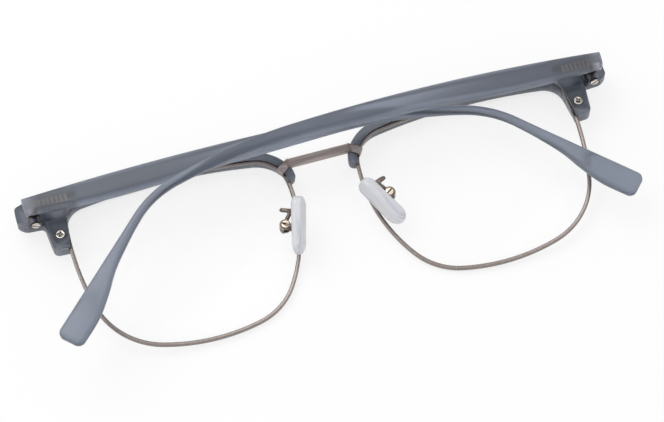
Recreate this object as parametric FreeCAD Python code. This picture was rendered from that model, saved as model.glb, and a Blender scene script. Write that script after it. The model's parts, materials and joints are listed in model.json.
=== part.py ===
import FreeCAD, Part
import math
import os
from FreeCAD import Placement, Rotation, Vector

# Browline glasses, folded and lying on their front. Millimetres, +Z up from the table.
# X runs across the front, Y up the front towards the brows. The origin is on the table,
# under the middle of the folded glasses. The right side (+X) is modelled and mirrored.

# Lens outline, measured on the middle of the rim wire
lens_width = 51.75
lens_height = 41.3
lens_gap = 16.4
lens_drop = 1.25
top_side_radius = 110.0
temporal_side_radius = 75.0
bottom_side_radius = 45.0
nasal_side_radius = 70.0
top_nasal_radius = 8.5
top_temporal_radius = 5.0
bottom_temporal_radius = 22.0
bottom_nasal_radius = 20.5
top_apex = 1.5
temporal_apex = 4.0
bottom_apex = 1.5
nasal_apex = 9.0

# Lens and rim section
lens_radius = 180.0
lens_thickness = 1.2
lens_fit = 0.04
rim_width = 0.9
rim_depth = 1.35
groove_depth = 0.3
groove_height = 0.7
rim_split = 0.15
front_lean = 3.3
front_wrap = 2.5

# Brow, endpiece and leg
brow_band = 1.6
brow_inset = 0.1
brow_rise = 2.9
brow_front_radius = 267.0
brow_front_apex = 21.7
brow_back_nasal = 4.4
brow_back_wrap = 2.3
brow_edge_radius = 0.6
brow_fit = 0.04
lobe_drop = 10.4
lobe_radius = 1.1
lobe_straight = 0.3
shoulder_turn = 104.0
crest_place = 0.3
crest_run = 4.5
crest_end_rise = 1.6
inner_corner = 2.0
endpiece_reach = 10.2
endpiece_top = 0.3
endpiece_bottom = 6.1
endpiece_corner = 1.0
endpiece_lower_corner = 2.4
leg_width = 3.7
leg_flare = 0.8
leg_drop = 14.1
leg_corner = 1.3

# Screws that hold the brow and close the rim
brow_screw_out = 1.38
brow_screw_drop = 9.26
brow_screw_head = 2.1
brow_screw_head_height = 0.6
brow_screw_proud = 0.1
head_fit = 0.1
brow_screw_shank = 1.2
recess_depth = 0.35
recess_width = 0.42
recess_length = 1.4
recess_turn = 20.0
block_width = 3.2
block_height = 1.7
block_fit = 0.06
lower_block_length = 4.2
upper_block_length = 2.2
closing_screw_out = 2.6
closing_screw_shank = 0.9
closing_screw_head = 1.4
closing_screw_head_height = 0.5
thread_fit = 0.02

# Bridge
bar_height = 2.0
bar_depth = 1.5
bar_drop = 5.4
bar_back = 5.4
strap_width = 1.75
strap_depth = 1.15
strap_sink = 0.45
strap_angle = -36.0
strap_length = 3.7
strap_lap = 0.35
strap_place = 153.0
bridge_fit = 0.05

# Hinges
hinge_out = 6.11
hinge_drop = 3.75
hinge_height = 8.2
barrel_radius = 1.3
middle_barrel_length = 1.8
outer_barrel_length = 1.5
barrel_fit = 0.05
hinge_pin = 1.2
pin_fit = 0.03
hinge_head = 1.9
hinge_head_height = 0.5
hinge_seat_depth = 2.1
hinge_plate = 0.45
hinge_plate_width = 3.4
anchor_width = 2.6
anchor_height = 3.0
anchor_depth = 1.5
anchor_rib = 0.25
shank_length = 11.6
shank_height = 1.5
shank_depth = 1.1
rib_pitch = 1.05
rib_width = 0.55
rib_height = 0.22
rib_count = 8
root_length = 2.4
root_inset = 0.5
leaf_width = 2.0

# Temples
temple_end = 2.0
temple_offset = 3.0
temple_thickness = 3.0
temple_tip_thickness = 2.3
temple_length = 147.5
temple_arch_length = 73.1
temple_start_heading = 5.3
temple_arch_turn = 9.3
ear_bend_radius = 115.0
ear_bend_turn = 15.0
ear_hook_radius = 27.0
ear_hook_turn = 27.0
temple_top = 1.75
end_height = 3.8
shoulder_height = 5.0
shoulder_place = 9.0
middle_height = 4.8
middle_place = 51.0
waist_height = 2.6
waist_place = 90.0
neck_height = 2.3
neck_place = 122.0
tip_height = 6.2
tip_run = 5.5
tip_corner = 1.7
temple_edge_radius = 0.55
fold_tilt = 1.5

# Nose pads and what carries them
pad_screw_in = 4.19
pad_screw_drop = 20.77
pad_stagger = 0.69
pad_length = 13.2
pad_thickness = 2.6
pad_lower_radius = 3.2
pad_upper_radius = 2.5
pad_edge_radius = 1.0
pad_reach = 2.72
pad_bearing = 31.0
pad_height = 7.2
pad_slant = 23.6
pad_tilt = 24.3
pad_rock = 9.5
insert_thickness = 0.8
insert_margin = 1.1
insert_stem = 0.8
tab_height = 6.1
tab_thickness = 0.9
tab_radius = 0.8
tab_reach = 1.5
tab_fit = 0.06
box_plate = 0.5
box_radius = 1.15
box_wall = 0.4
box_gap = 0.2
pad_screw_shank = 0.8
pad_screw_head = 1.9
pad_screw_head_height = 0.4
slot_width = 0.35
slot_depth = 0.2
slot_turn = 35.0
arm_diameter = 0.95
arm_bend = 0.7
arm_root_drop = 17.5
arm_hook_in = 4.0
arm_hook_drop = 16.2
arm_hook_height = 5.6
arm_turn_drop = 0.85
arm_turn_height = 1.5
arm_knee_in = 2.1
arm_knee_drop = 17.9
arm_knee_height = 7.3
arm_end_turn = 100.0
arm_shift = 0.05

# Values worked out from the sizes above
lens_x = lens_gap / 2 + lens_width / 2
lens_y = -lens_drop
lens_top = lens_y + lens_height / 2
nasal_x = lens_gap / 2
temporal_x = nasal_x + lens_width
rim_half = rim_width / 2
x_axis = Vector(1, 0, 0)
y_axis = Vector(0, 1, 0)
z_axis = Vector(0, 0, 1)
far = 200.0


def unit(vector):
    return vector * (1.0 / vector.Length)


def tangent_arc(centre, radius, start, end):
    """Arc under a half circle from start to end, which both lie on the circle."""
    middle = centre + unit((start - centre) + (end - centre)) * radius
    return Part.Arc(start, middle, end).toShape()


def circles_meet(centre_a, radius_a, centre_b, radius_b, near):
    """The point where two circles in the XY plane cross, on the side of near."""
    across = centre_b - centre_a
    along = (radius_a**2 - radius_b**2 + across.Length**2) / (2 * across.Length)
    height = math.sqrt(radius_a**2 - along**2)
    foot = centre_a + unit(across) * along
    normal = unit(Vector(-across.y, across.x, 0)) * height
    return min((foot + normal, foot - normal), key=lambda point: (point - near).Length)


def lens_sides():
    """Centre and radius of the four sides of the lens outline, about the middle of the lens."""
    half_width = lens_width / 2
    half_height = lens_height / 2
    return [
        (Vector(nasal_side_radius - half_width, nasal_apex, 0), nasal_side_radius),
        (Vector(top_apex, half_height - top_side_radius, 0), top_side_radius),
        (Vector(half_width - temporal_side_radius, temporal_apex, 0), temporal_side_radius),
        (Vector(bottom_apex, bottom_side_radius - half_height, 0), bottom_side_radius),
    ]


def lens_corners():
    """Centre and radius of the four corners, each tangent to the sides before and after it."""
    half_width = lens_width / 2
    half_height = lens_height / 2
    radii = [top_nasal_radius, top_temporal_radius, bottom_temporal_radius, bottom_nasal_radius]
    places = [(-1, 1), (1, 1), (1, -1), (-1, -1)]
    sides = lens_sides()
    corners = []
    for number, (radius, place) in enumerate(zip(radii, places)):
        centre_a, radius_a = sides[number]
        centre_b, radius_b = sides[(number + 1) % 4]
        near = Vector(place[0] * half_width, place[1] * half_height, 0)
        centre = circles_meet(centre_a, radius_a - radius, centre_b, radius_b - radius, near)
        corners.append((centre, radius))
    return corners


def lens_wire(grow):
    """Lens outline of eight tangent arcs, moved outwards by grow."""
    sides = lens_sides()
    corners = lens_corners()
    edges = []
    for number, (centre, radius) in enumerate(corners):
        before, before_radius = sides[number]
        after, after_radius = sides[(number + 1) % 4]
        start = before + unit(centre - before) * (before_radius + grow)
        end = after + unit(centre - after) * (after_radius + grow)
        edges.append(tangent_arc(centre, radius + grow, start, end))
        next_centre = corners[(number + 1) % 4][0]
        side_end = after + unit(next_centre - after) * (after_radius + grow)
        edges.append(tangent_arc(after, after_radius + grow, end, side_end))
    return Part.Wire(edges)


def lens_prism(grow):
    """Straight prism of the lens outline, long enough to pass through the whole front."""
    face = Part.Face(lens_wire(grow))
    face.translate(Vector(0, 0, -12))
    return face.extrude(Vector(0, 0, 36))


def lens_shell(front, back):
    """Layer of a hollow ball about the lens's middle surface, bulging towards the table."""
    centre = Vector(0, 0, lens_radius)
    outer = Part.makeSphere(lens_radius + front, centre, y_axis)
    inner = Part.makeSphere(lens_radius - back, centre, y_axis)
    return outer.cut(inner)


def lens_layer(outer_grow, half_thickness):
    """Solid inside the outline that follows the lens's curve."""
    shell = lens_shell(half_thickness, half_thickness)
    return lens_prism(outer_grow).common(shell)


def placed(shape, placement):
    """Copy of a shape, turned and moved as the placement says."""
    copy = shape.copy()
    copy.Placement = placement.multiply(copy.Placement)
    return copy


def lens_placement():
    """Place of the right lens: leaned and wrapped, with its bulge down to the table."""
    turn = Rotation(y_axis, -front_wrap).multiply(Rotation(x_axis, front_lean))
    level = Placement(Vector(lens_x, lens_y, 0), turn)
    glass = placed(lens_layer(rim_half, lens_thickness / 2), level)
    foot = glass.optimalBoundingBox(False, False).ZMin
    return Placement(Vector(lens_x, lens_y, -foot), turn)


def block(x_range, y_range, z_range):
    """Box between three pairs of limits."""
    size = [limits[1] - limits[0] for limits in (x_range, y_range, z_range)]
    corner = Vector(x_range[0], y_range[0], z_range[0])
    return Part.makeBox(size[0], size[1], size[2], corner)


def rod(radius, start, end):
    """Round bar between two points."""
    return Part.makeCylinder(radius, (end - start).Length, start, end - start)


def rounded_wire(corners):
    """Closed outline of straight runs, where each corner (x, y, radius) is rounded by an arc."""
    points = [Vector(x, y, 0) for x, y, radius in corners]
    runs = []
    for number, (x, y, radius) in enumerate(corners):
        point = points[number]
        back = unit(points[number - 1] - point)
        ahead = unit(points[(number + 1) % len(points)] - point)
        if radius == 0:
            runs.append((point, None, point))
            continue
        half_angle = back.getAngle(ahead) / 2
        reach = radius / math.tan(half_angle)
        centre = point + unit(back + ahead) * (radius / math.sin(half_angle))
        start = point + back * reach
        end = point + ahead * reach
        runs.append((start, tangent_arc(centre, radius, start, end), end))
    edges = []
    for number, (start, arc, end) in enumerate(runs):
        if arc is not None:
            edges.append(arc)
        edges.append(Part.LineSegment(end, runs[(number + 1) % len(runs)][0]).toShape())
    return Part.Wire(edges)


def round_edges(shape, radius, chosen):
    """Round the edges that chosen(edge) picks."""
    edges = [edge for edge in shape.Edges if chosen(edge)]
    return shape.makeFillet(radius, edges)


def middle_of(edge):
    return edge.valueAt((edge.FirstParameter + edge.LastParameter) / 2)


def mirrored(shape):
    return shape.mirror(Vector(0, 0, 0), x_axis)


def cross_recess(centre, outward):
    """Cross-shaped driver recess sunk into a screw head whose top is at centre."""
    arm = Part.makeBox(recess_length, recess_width, recess_depth * 2)
    arm.translate(Vector(-recess_length / 2, -recess_width / 2, -recess_depth))
    other = arm.copy()
    other.rotate(Vector(0, 0, 0), z_axis, 90)
    cross = arm.fuse(other)
    cross.rotate(Vector(0, 0, 0), z_axis, recess_turn)
    return placed(cross, Placement(centre, Rotation(z_axis, outward)))


def slot_recess(centre, outward, length):
    """Straight driver slot sunk into a screw head whose top is at centre."""
    slot = Part.makeBox(length, slot_width, slot_depth * 2)
    slot.translate(Vector(-length / 2, -slot_width / 2, -slot_depth))
    slot.rotate(Vector(0, 0, 0), z_axis, slot_turn)
    return placed(slot, Placement(centre, Rotation(z_axis, outward)))


# Rim, lens and the place where the rim is split
front_place = lens_placement()
split_y = lens_top - brow_screw_drop + lower_block_length / 2 + rim_split / 2


def make_rim():
    """Grooved eyewire, open at its closing block on the temporal side."""
    ring = lens_layer(rim_half, rim_depth / 2).cut(lens_prism(-rim_half))
    groove = lens_layer(groove_depth - rim_half, groove_height / 2)
    wire = placed(ring.cut(groove), front_place)
    split_limits = (split_y - rim_split / 2, split_y + rim_split / 2)
    return wire.cut(block((lens_x, temporal_x + 3), split_limits, (0, 12)))


def make_lens():
    """Thin meniscus with a tongue round its edge for the rim's groove."""
    body = lens_layer(-rim_half - lens_fit, lens_thickness / 2)
    tongue = lens_layer(groove_depth - rim_half - lens_fit, groove_height / 2 - lens_fit)
    return placed(body.fuse(tongue).removeSplitter(), front_place)


def rim_envelope():
    """Space that the rim takes in the brow's groove."""
    return placed(lens_layer(rim_half + brow_fit, rim_depth / 2 + brow_fit), front_place)


# Brow
def brow_outline():
    """Outline of the brow about the middle of the lens, closed across the lens."""
    half_width = lens_width / 2
    half_height = lens_height / 2
    shoulder_centre, shoulder_radius = lens_corners()[0]
    shoulder = shoulder_radius + brow_band
    lobe_y = half_height - lobe_drop
    side_y = lobe_y + lobe_radius + lobe_straight
    side_turn = math.asin((side_y - shoulder_centre.y) / shoulder)
    shoulder_start = Vector(shoulder_centre.x - shoulder * math.cos(side_turn), side_y, 0)
    lobe_x = shoulder_start.x
    crest_x = half_width * crest_place
    crest_y = half_height + brow_rise
    outer_x = half_width + endpiece_reach
    outer_y = half_height + endpiece_top
    step_y = half_height - endpiece_bottom
    leg_y = half_height - leg_drop
    leg_x = half_width + leg_width
    crest = Vector(crest_x, crest_y, 0)
    rise = math.radians(shoulder_turn)
    lift = Vector(math.cos(rise), math.sin(rise), 0)
    shoulder_end = shoulder_centre + lift * shoulder
    rest = [
        (outer_x, outer_y, endpiece_corner),
        (outer_x, step_y, endpiece_lower_corner),
        (leg_x + leg_flare, step_y, endpiece_corner),
        (leg_x, leg_y, leg_corner),
        (half_width / 2, leg_y, inner_corner),
        (-half_width / 2, lobe_y, inner_corner),
        (lobe_x, lobe_y, lobe_radius),
    ]
    top_end = Vector(outer_x - crest_run, outer_y + crest_end_rise, 0)
    frame = rounded_wire([(shoulder_start.x, shoulder_start.y, 0), (top_end.x, top_end.y, 0)] + rest)
    edges = [edge for edge in frame.Edges if not is_chord(edge, shoulder_start, top_end)]
    edges.append(tangent_arc(shoulder_centre, shoulder, shoulder_start, shoulder_end))
    edges.append(Part.Arc(shoulder_end, crest, top_end).toShape())
    return Part.Wire(Part.__sortEdges__(edges))


def is_chord(edge, start, end):
    """True for the straight run between two points, which the curved top replaces."""
    ends = [vertex.Point for vertex in edge.Vertexes]
    return all(min((point - start).Length, (point - end).Length) < 1e-6 for point in ends)


def brow_blank():
    """Brow with its front, back and hinge seat, before anything is let into it."""
    face = Part.Face(brow_outline())
    face.translate(Vector(0, 0, -12))
    prism = placed(face.extrude(Vector(0, 0, 36)), front_place)
    front_centre = Vector(nasal_x + brow_front_apex, -far, brow_front_radius)
    front = Part.makeCylinder(brow_front_radius, 2 * far, front_centre, y_axis)
    back = block((-far, far), (-far, far), (0, far))
    back.rotate(Vector(0, 0, 0), y_axis, -brow_back_wrap)
    back.translate(Vector(nasal_x, 0, brow_back_nasal))
    seat_z = hinge_height - hinge_seat_depth
    seat_x = temporal_x + leg_width + leg_flare / 2
    seat = block((seat_x, far), (-far, far), (seat_z, far))
    inside = placed(lens_prism(brow_inset), front_place)
    body = round_edges(prism.common(front).cut(back), brow_edge_radius, is_flat)
    return body.cut(seat).cut(inside)


def is_flat(edge):
    """True for an edge that runs round a piece and not through its thickness."""
    ends = [vertex.Point for vertex in edge.Vertexes]
    return abs(ends[0].z - ends[-1].z) < (ends[0] - ends[-1]).Length / 2


def lens_point(x, y):
    """Point of the right lens's middle surface, x and y from the middle of the lens."""
    depth = (x**2 + y**2) / (2 * lens_radius)
    return front_place.multVec(Vector(x, y, depth))


def brow_back(x):
    """Height of the brow's back face at x."""
    return brow_back_nasal + math.tan(math.radians(brow_back_wrap)) * (x - nasal_x)


# Closing block, its screw and the screw of the brow
screw_x = temporal_x + brow_screw_out
screw_y = lens_top - brow_screw_drop
block_z = lens_point(lens_width / 2, screw_y - lens_y).z
block_end = temporal_x + block_width
lower_block = (screw_y - lower_block_length / 2, screw_y + lower_block_length / 2)
upper_block = (lower_block[1] + rim_split, lower_block[1] + rim_split + upper_block_length)
closing_x = temporal_x + closing_screw_out
head_top = brow_back(screw_x) + brow_screw_proud
head_floor = head_top - brow_screw_head_height


def brow_screw_space(clearance, head_clearance):
    """Head and shank of the brow screw, down through the closing block."""
    top = Vector(screw_x, screw_y, head_top)
    floor = Vector(screw_x, screw_y, head_floor)
    foot = Vector(screw_x, screw_y, block_z - block_height / 2)
    head = rod(brow_screw_head / 2 + head_clearance, floor, top)
    return head.fuse(rod(brow_screw_shank / 2 + clearance, foot, floor))


def closing_screw_space(clearance):
    """Head and shank of the closing screw, along the leg through both blocks."""
    foot = Vector(closing_x, lower_block[0], block_z)
    floor = Vector(closing_x, upper_block[1], block_z)
    top = floor + y_axis * closing_screw_head_height
    head = rod(closing_screw_head / 2 + clearance, floor, top)
    return head.fuse(rod(closing_screw_shank / 2 + clearance, foot, floor))


def make_brow_screw():
    screw = brow_screw_space(0, 0)
    top = Vector(screw_x, screw_y, head_top)
    rounded = round_edges(screw, recess_depth / 2, lambda edge: middle_of(edge).z > head_top - 1e-3)
    return rounded.cut(cross_recess(top, z_axis))


def make_closing_screw():
    top = Vector(closing_x, upper_block[1] + closing_screw_head_height, block_z)
    slot = slot_recess(top, y_axis, 2 * closing_screw_head)
    return closing_screw_space(0).cut(slot)


def make_closing_block():
    """Two blocks soldered to the rim's ends, with holes for the two screws."""
    z_limits = (block_z - block_height / 2, block_z + block_height / 2)
    inside = placed(lens_prism(rim_half), front_place)
    halves = []
    for y_limits in (lower_block, upper_block):
        half = block((temporal_x - block_width, block_end), y_limits, z_limits).cut(inside)
        half = half.cut(closing_screw_space(thread_fit))
        halves.append(half.cut(brow_screw_space(thread_fit, thread_fit)))
    return Part.makeCompound(halves)


def block_pocket():
    """Room in the brow's leg for the blocks and the head of the closing screw."""
    y_limits = (lower_block[0] - block_fit, upper_block[1] + block_fit)
    half_height = block_height / 2 + block_fit
    z_limits = (block_z - half_height, block_z + half_height)
    pocket = block((temporal_x - block_width, block_end + block_fit), y_limits, z_limits)
    return pocket.fuse(closing_screw_space(block_fit))


# Bridge
strap_z = brow_back_nasal - strap_sink
strap_turn = math.radians(strap_angle)
strap_along = Vector(math.cos(strap_turn), math.sin(strap_turn), 0)
bar_y = lens_top - bar_drop


def strap_rim_point():
    """Point of the rim wire, at its nasal top corner, where the strap is soldered on."""
    centre, radius = lens_corners()[0]
    turn = math.radians(strap_place)
    place = centre + Vector(math.cos(turn), math.sin(turn), 0) * radius
    return lens_point(place.x, place.y)


def strap_bar(start, end, width, bottom, top):
    """Flat bar along the strap, from start to end measured from the rim wire."""
    bar = block((start, end), (-width / 2, width / 2), (bottom, top))
    bar.rotate(Vector(0, 0, 0), z_axis, strap_angle)
    rim_point = strap_rim_point()
    bar.translate(Vector(rim_point.x, rim_point.y, 0))
    return bar


def strap_space(clearance):
    """Strap with the foot that stands on the rim."""
    end = rim_half + strap_lap
    foot_bottom = strap_rim_point().z
    width = strap_width + 2 * clearance
    strap = strap_bar(end - strap_length, end + clearance, width, strap_z - clearance, strap_z + strap_depth)
    foot = strap_bar(-rim_half - clearance, end + clearance, width, foot_bottom, strap_z)
    return strap.fuse(foot)


def make_bridge():
    """Bar between the lenses with a strap to each rim, all one piece of metal."""
    seat = placed(lens_layer(rim_half, rim_depth / 2), front_place)
    strap = strap_space(0).cut(seat)
    start = strap_rim_point() - strap_along * (strap_length - rim_half - strap_lap)
    half_length = start.x + strap_width / 2
    y_limits = (bar_y - bar_height / 2, bar_y + bar_height / 2)
    bar = block((-half_length, half_length), y_limits, (bar_back - bar_depth, bar_back))
    bar = round_edges(bar, bar_depth / 5, lambda edge: abs(middle_of(edge).x) < 1e-6)
    return bar.fuse([strap, mirrored(strap)]).removeSplitter()


# Hinge, in the place it has on the right side
hinge_x = temporal_x + hinge_out
hinge_y = lens_top - hinge_drop
seat_z = hinge_height - hinge_seat_depth
hinge_point = Vector(hinge_x, hinge_y, hinge_height)
inner_end = middle_barrel_length / 2 + barrel_fit
outer_end = inner_end + outer_barrel_length


def along_hinge(offset):
    return hinge_point + y_axis * offset


def make_front_hinge():
    """Two barrels on a plate, with an anchor that the endpiece holds."""
    pieces = []
    for low, high in ((-outer_end, -inner_end), (inner_end, outer_end)):
        pieces.append(rod(barrel_radius, along_hinge(low), along_hinge(high)))
        neck_x = (hinge_x - barrel_radius, hinge_x + barrel_radius)
        pieces.append(block(neck_x, (hinge_y + low, hinge_y + high), (seat_z, hinge_height)))
    plate_x = (hinge_x - hinge_plate_width / 2, hinge_x + hinge_plate_width / 2)
    plate_y = (hinge_y - outer_end, hinge_y + outer_end)
    plate = block(plate_x, plate_y, (seat_z, seat_z + hinge_plate))
    hole = rod(hinge_pin / 2 + thread_fit, along_hinge(-outer_end), along_hinge(outer_end))
    return plate.fuse(pieces + [hinge_anchor()]).cut(hole).removeSplitter()


def hinge_anchor():
    """Anchor with a wider foot, moulded into the endpiece."""
    half_width = anchor_width / 2
    half_height = anchor_height / 2
    stem_x = (hinge_x - half_width, hinge_x + half_width)
    stem_y = (hinge_y - half_height, hinge_y + half_height)
    foot_x = (stem_x[0] - anchor_rib, stem_x[1] + anchor_rib)
    foot_y = (stem_y[0] - anchor_rib, stem_y[1] + anchor_rib)
    bottom = seat_z - anchor_depth
    stem = block(stem_x, stem_y, (bottom, seat_z))
    return stem.fuse(block(foot_x, foot_y, (bottom, bottom + anchor_depth / 3)))


def make_hinge_screw():
    """Hinge pin whose slotted head shows under the lower barrel."""
    floor = along_hinge(-outer_end)
    top = along_hinge(-outer_end - hinge_head_height)
    head = rod(hinge_head / 2, floor, top)
    pin = rod(hinge_pin / 2, floor, along_hinge(outer_end))
    return head.fuse(pin).cut(slot_recess(top, Vector(0, -1, 0), 2 * hinge_head))


def make_temple_hinge():
    """Middle barrel with a leaf up into the temple and a ribbed shank along it."""
    half_barrel = middle_barrel_length / 2
    barrel = rod(barrel_radius, along_hinge(-half_barrel), along_hinge(half_barrel))
    shank_z = hinge_height + temple_offset + temple_thickness / 2
    leaf_x = (hinge_x - leaf_width / 2, hinge_x + leaf_width / 2)
    leaf_y = (hinge_y - half_barrel, hinge_y + half_barrel)
    leaf = block(leaf_x, leaf_y, (hinge_height, shank_z + shank_depth / 2))
    root_x = hinge_x + temple_end - root_inset
    half_root = shank_depth / 2 + rib_height
    root = block((root_x - root_length, root_x), leaf_y, (shank_z - half_root, shank_z + half_root))
    half_height = shank_height / 2
    half_depth = shank_depth / 2
    tip_x = root_x - shank_length
    core = block((tip_x, root_x), (hinge_y - half_height, hinge_y + half_height),
                 (shank_z - half_depth, shank_z + half_depth))
    pieces = [leaf, root, core]
    for number in range(rib_count):
        rib_x = root_x - root_length - rib_pitch * (number + 1)
        pieces.append(block((rib_x, rib_x + rib_width),
                            (hinge_y - half_height - rib_height, hinge_y + half_height + rib_height),
                            (shank_z - half_depth - rib_height, shank_z + half_depth + rib_height)))
    hole = rod(hinge_pin / 2 + pin_fit, along_hinge(-outer_end), along_hinge(outer_end))
    return barrel.fuse(pieces).cut(hole).removeSplitter()


# Temple, drawn from its hinge end along u with v up, then laid over the hinge
def temple_top_line():
    """Top edge as tangent arcs: a long arch, the ear bend in two arcs and a straight tip."""
    runs = [
        (temple_arch_length, temple_arch_turn),
        (ear_bend_radius * math.radians(ear_bend_turn), ear_bend_turn),
        (ear_hook_radius * math.radians(ear_hook_turn), ear_hook_turn),
    ]
    straight = temple_length - sum(length for length, turn in runs)
    return runs + [(straight, 0.0)]


def temple_point(distance, height):
    """Point at a distance along the top edge and a height below it."""
    place = Vector(-temple_end, temple_top, 0)
    heading = math.radians(temple_start_heading)
    for length, turn in temple_top_line():
        step = min(distance, length)
        bend = math.radians(turn) * step / length
        chord = step if bend == 0 else 2 * step / bend * math.sin(bend / 2)
        middle = heading - bend / 2
        place = place + Vector(math.cos(middle), math.sin(middle), 0) * chord
        heading = heading - bend
        distance = distance - step
        if distance <= 0:
            break
    return place + Vector(math.sin(heading), -math.cos(heading), 0) * height


def temple_face():
    """Side view of the temple: arcs along the top, a smooth curve along the bottom."""
    edges = []
    done = 0.0
    for length, turn in temple_top_line():
        start = temple_point(done, 0)
        end = temple_point(done + length, 0)
        if turn == 0:
            edges.append(Part.LineSegment(start, end).toShape())
        else:
            edges.append(Part.Arc(start, temple_point(done + length / 2, 0), end).toShape())
        done = done + length
    flare_end = temple_length - tip_run
    flare = []
    for share in (0.35, 0.6, 0.85):
        growth = (1 - math.cos(math.pi * share)) / 2
        flare.append((neck_place + (flare_end - neck_place) * share,
                      neck_height + (tip_height - neck_height) * growth))
    stations = [(0, end_height), (shoulder_place, shoulder_height), (middle_place, middle_height),
                (waist_place, waist_height), (neck_place, neck_height)]
    stations = stations + flare + [(temple_length, tip_height)]
    bottom = Part.BSplineCurve()
    bottom.interpolate([temple_point(place, height) for place, height in stations])
    first = bottom.StartPoint
    last = bottom.EndPoint
    edges.append(Part.LineSegment(temple_point(temple_length, 0), last).toShape())
    edges.append(bottom.toShape())
    edges.append(Part.LineSegment(first, temple_point(0, 0)).toShape())
    return Part.Face(Part.Wire(Part.__sortEdges__(edges)))


def make_temple():
    """Temple in plan, cut to its tapering thickness and rounded, over the right hinge."""
    plan = temple_face().extrude(z_axis * far)
    tip_top = temple_point(temple_length, 0)
    tip_bottom = temple_point(temple_length, tip_height)
    at_tip = lambda edge: min((middle_of(edge) - tip_top - z_axis * far / 2).Length,
                              (middle_of(edge) - tip_bottom - z_axis * far / 2).Length) < 1e-3
    plan = round_edges(plan, tip_corner, at_tip)
    outer = temple_offset + temple_thickness
    tip_outer = temple_offset + temple_tip_thickness
    reach = temple_point(temple_length, tip_height / 2).x + tip_height
    side = Part.Face(Part.makePolygon([
        Vector(-temple_end, -far, temple_offset), Vector(reach, -far, temple_offset),
        Vector(reach, -far, tip_outer), Vector(-temple_end, -far, outer),
        Vector(-temple_end, -far, temple_offset)]))
    body = plan.common(side.extrude(y_axis * 2 * far))
    inside_end = lambda edge: middle_of(edge).x > -temple_end + 1e-3
    body = round_edges(body, temple_edge_radius, lambda edge: inside_end(edge) and is_flat(edge))
    body = body.mirror(Vector(0, 0, 0), x_axis)
    body.translate(hinge_point)
    return body.cut(make_temple_hinge())


def folded(shape, tilt):
    """Rest angle of a temple: one lies under the other, so both tilt a little."""
    copy = shape.copy()
    copy.rotate(hinge_point, y_axis, tilt)
    return copy


# Nose pad, its rigid core and the fork that carries them, at the right pad screw
pad_bearing_turn = math.radians(180 + pad_bearing)
pad_outward = Vector(math.cos(pad_bearing_turn), math.sin(pad_bearing_turn), 0)
box_half = tab_thickness / 2 + tab_fit + box_plate


def pad_axis_point(stagger):
    """Middle of the fork, on the axis of the pad screw."""
    return Vector(nasal_x + pad_screw_in, lens_top - pad_screw_drop + stagger, tab_height)


def pad_placement(stagger):
    """Place of the pad: its long axis slants down the nose and its face looks at the nose."""
    tilt = math.radians(pad_tilt)
    slant = math.radians(pad_slant)
    down = Vector(math.sin(tilt), -math.cos(tilt), 0) * math.cos(slant) - z_axis * math.sin(slant)
    face = unit(pad_outward - z_axis * (pad_outward.dot(down) / down.z))
    turn = Rotation((down * -1).cross(face), down * -1, face, "ZYX")
    axis_point = pad_axis_point(stagger)
    centre = axis_point + pad_outward * pad_reach + z_axis * (pad_height - tab_height)
    return Placement(centre, turn)


def pad_plate(shrink, thickness):
    """Flat plate of two round ends joined by their tangents, in the pad's own axes."""
    lower_radius = pad_lower_radius - shrink
    upper_radius = pad_upper_radius - shrink
    lower = Vector(0, pad_lower_radius - pad_length / 2, -thickness / 2)
    upper = Vector(0, pad_length / 2 - pad_upper_radius, -thickness / 2)
    lean = math.asin((lower_radius - upper_radius) / (upper - lower).Length)
    side = Vector(math.cos(lean), math.sin(lean), 0)
    other = Vector(-side.x, side.y, 0)
    top = upper + y_axis * upper_radius
    bottom = lower - y_axis * lower_radius
    edges = [
        Part.Arc(upper + side * upper_radius, top, upper + other * upper_radius).toShape(),
        Part.LineSegment(upper + other * upper_radius, lower + other * lower_radius).toShape(),
        Part.Arc(lower + other * lower_radius, bottom, lower + side * lower_radius).toShape(),
        Part.LineSegment(lower + side * lower_radius, upper + side * upper_radius).toShape(),
    ]
    return Part.Face(Part.Wire(edges)).extrude(z_axis * thickness)


def make_pad_insert(stagger):
    """Core plate in the pad, a stem out of its back and a tab with a hole for the screw."""
    axis_point = pad_axis_point(stagger)
    place = pad_placement(stagger)
    plate = placed(pad_plate(insert_margin, insert_thickness), place)
    low = axis_point - z_axis * (tab_thickness / 2)
    tab = Part.makeCylinder(tab_radius, tab_thickness, low)
    arm = block((0, tab_reach), (-tab_radius, tab_radius), (0, tab_thickness))
    arm = placed(arm, Placement(low, Rotation(z_axis, 180 + pad_bearing)))
    stem = rod(insert_stem / 2, axis_point + pad_outward * (tab_reach - insert_stem / 4), place.Base)
    hole = Part.makeCylinder(pad_screw_shank / 2 + pin_fit, tab_thickness, low)
    return plate.fuse([tab, arm, stem]).cut(hole).removeSplitter()


def make_nose_pad(stagger):
    """Soft pad with rounded edges, moulded round its core."""
    pad = pad_plate(0, pad_thickness)
    pad = round_edges(pad, pad_edge_radius, is_flat)
    return placed(pad, pad_placement(stagger)).cut(make_pad_insert(stagger))


def rocked(shape, stagger, angle):
    """The pad as it happens to stand, turned about its screw."""
    copy = shape.copy()
    copy.rotate(pad_axis_point(stagger), z_axis, angle)
    return copy


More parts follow.
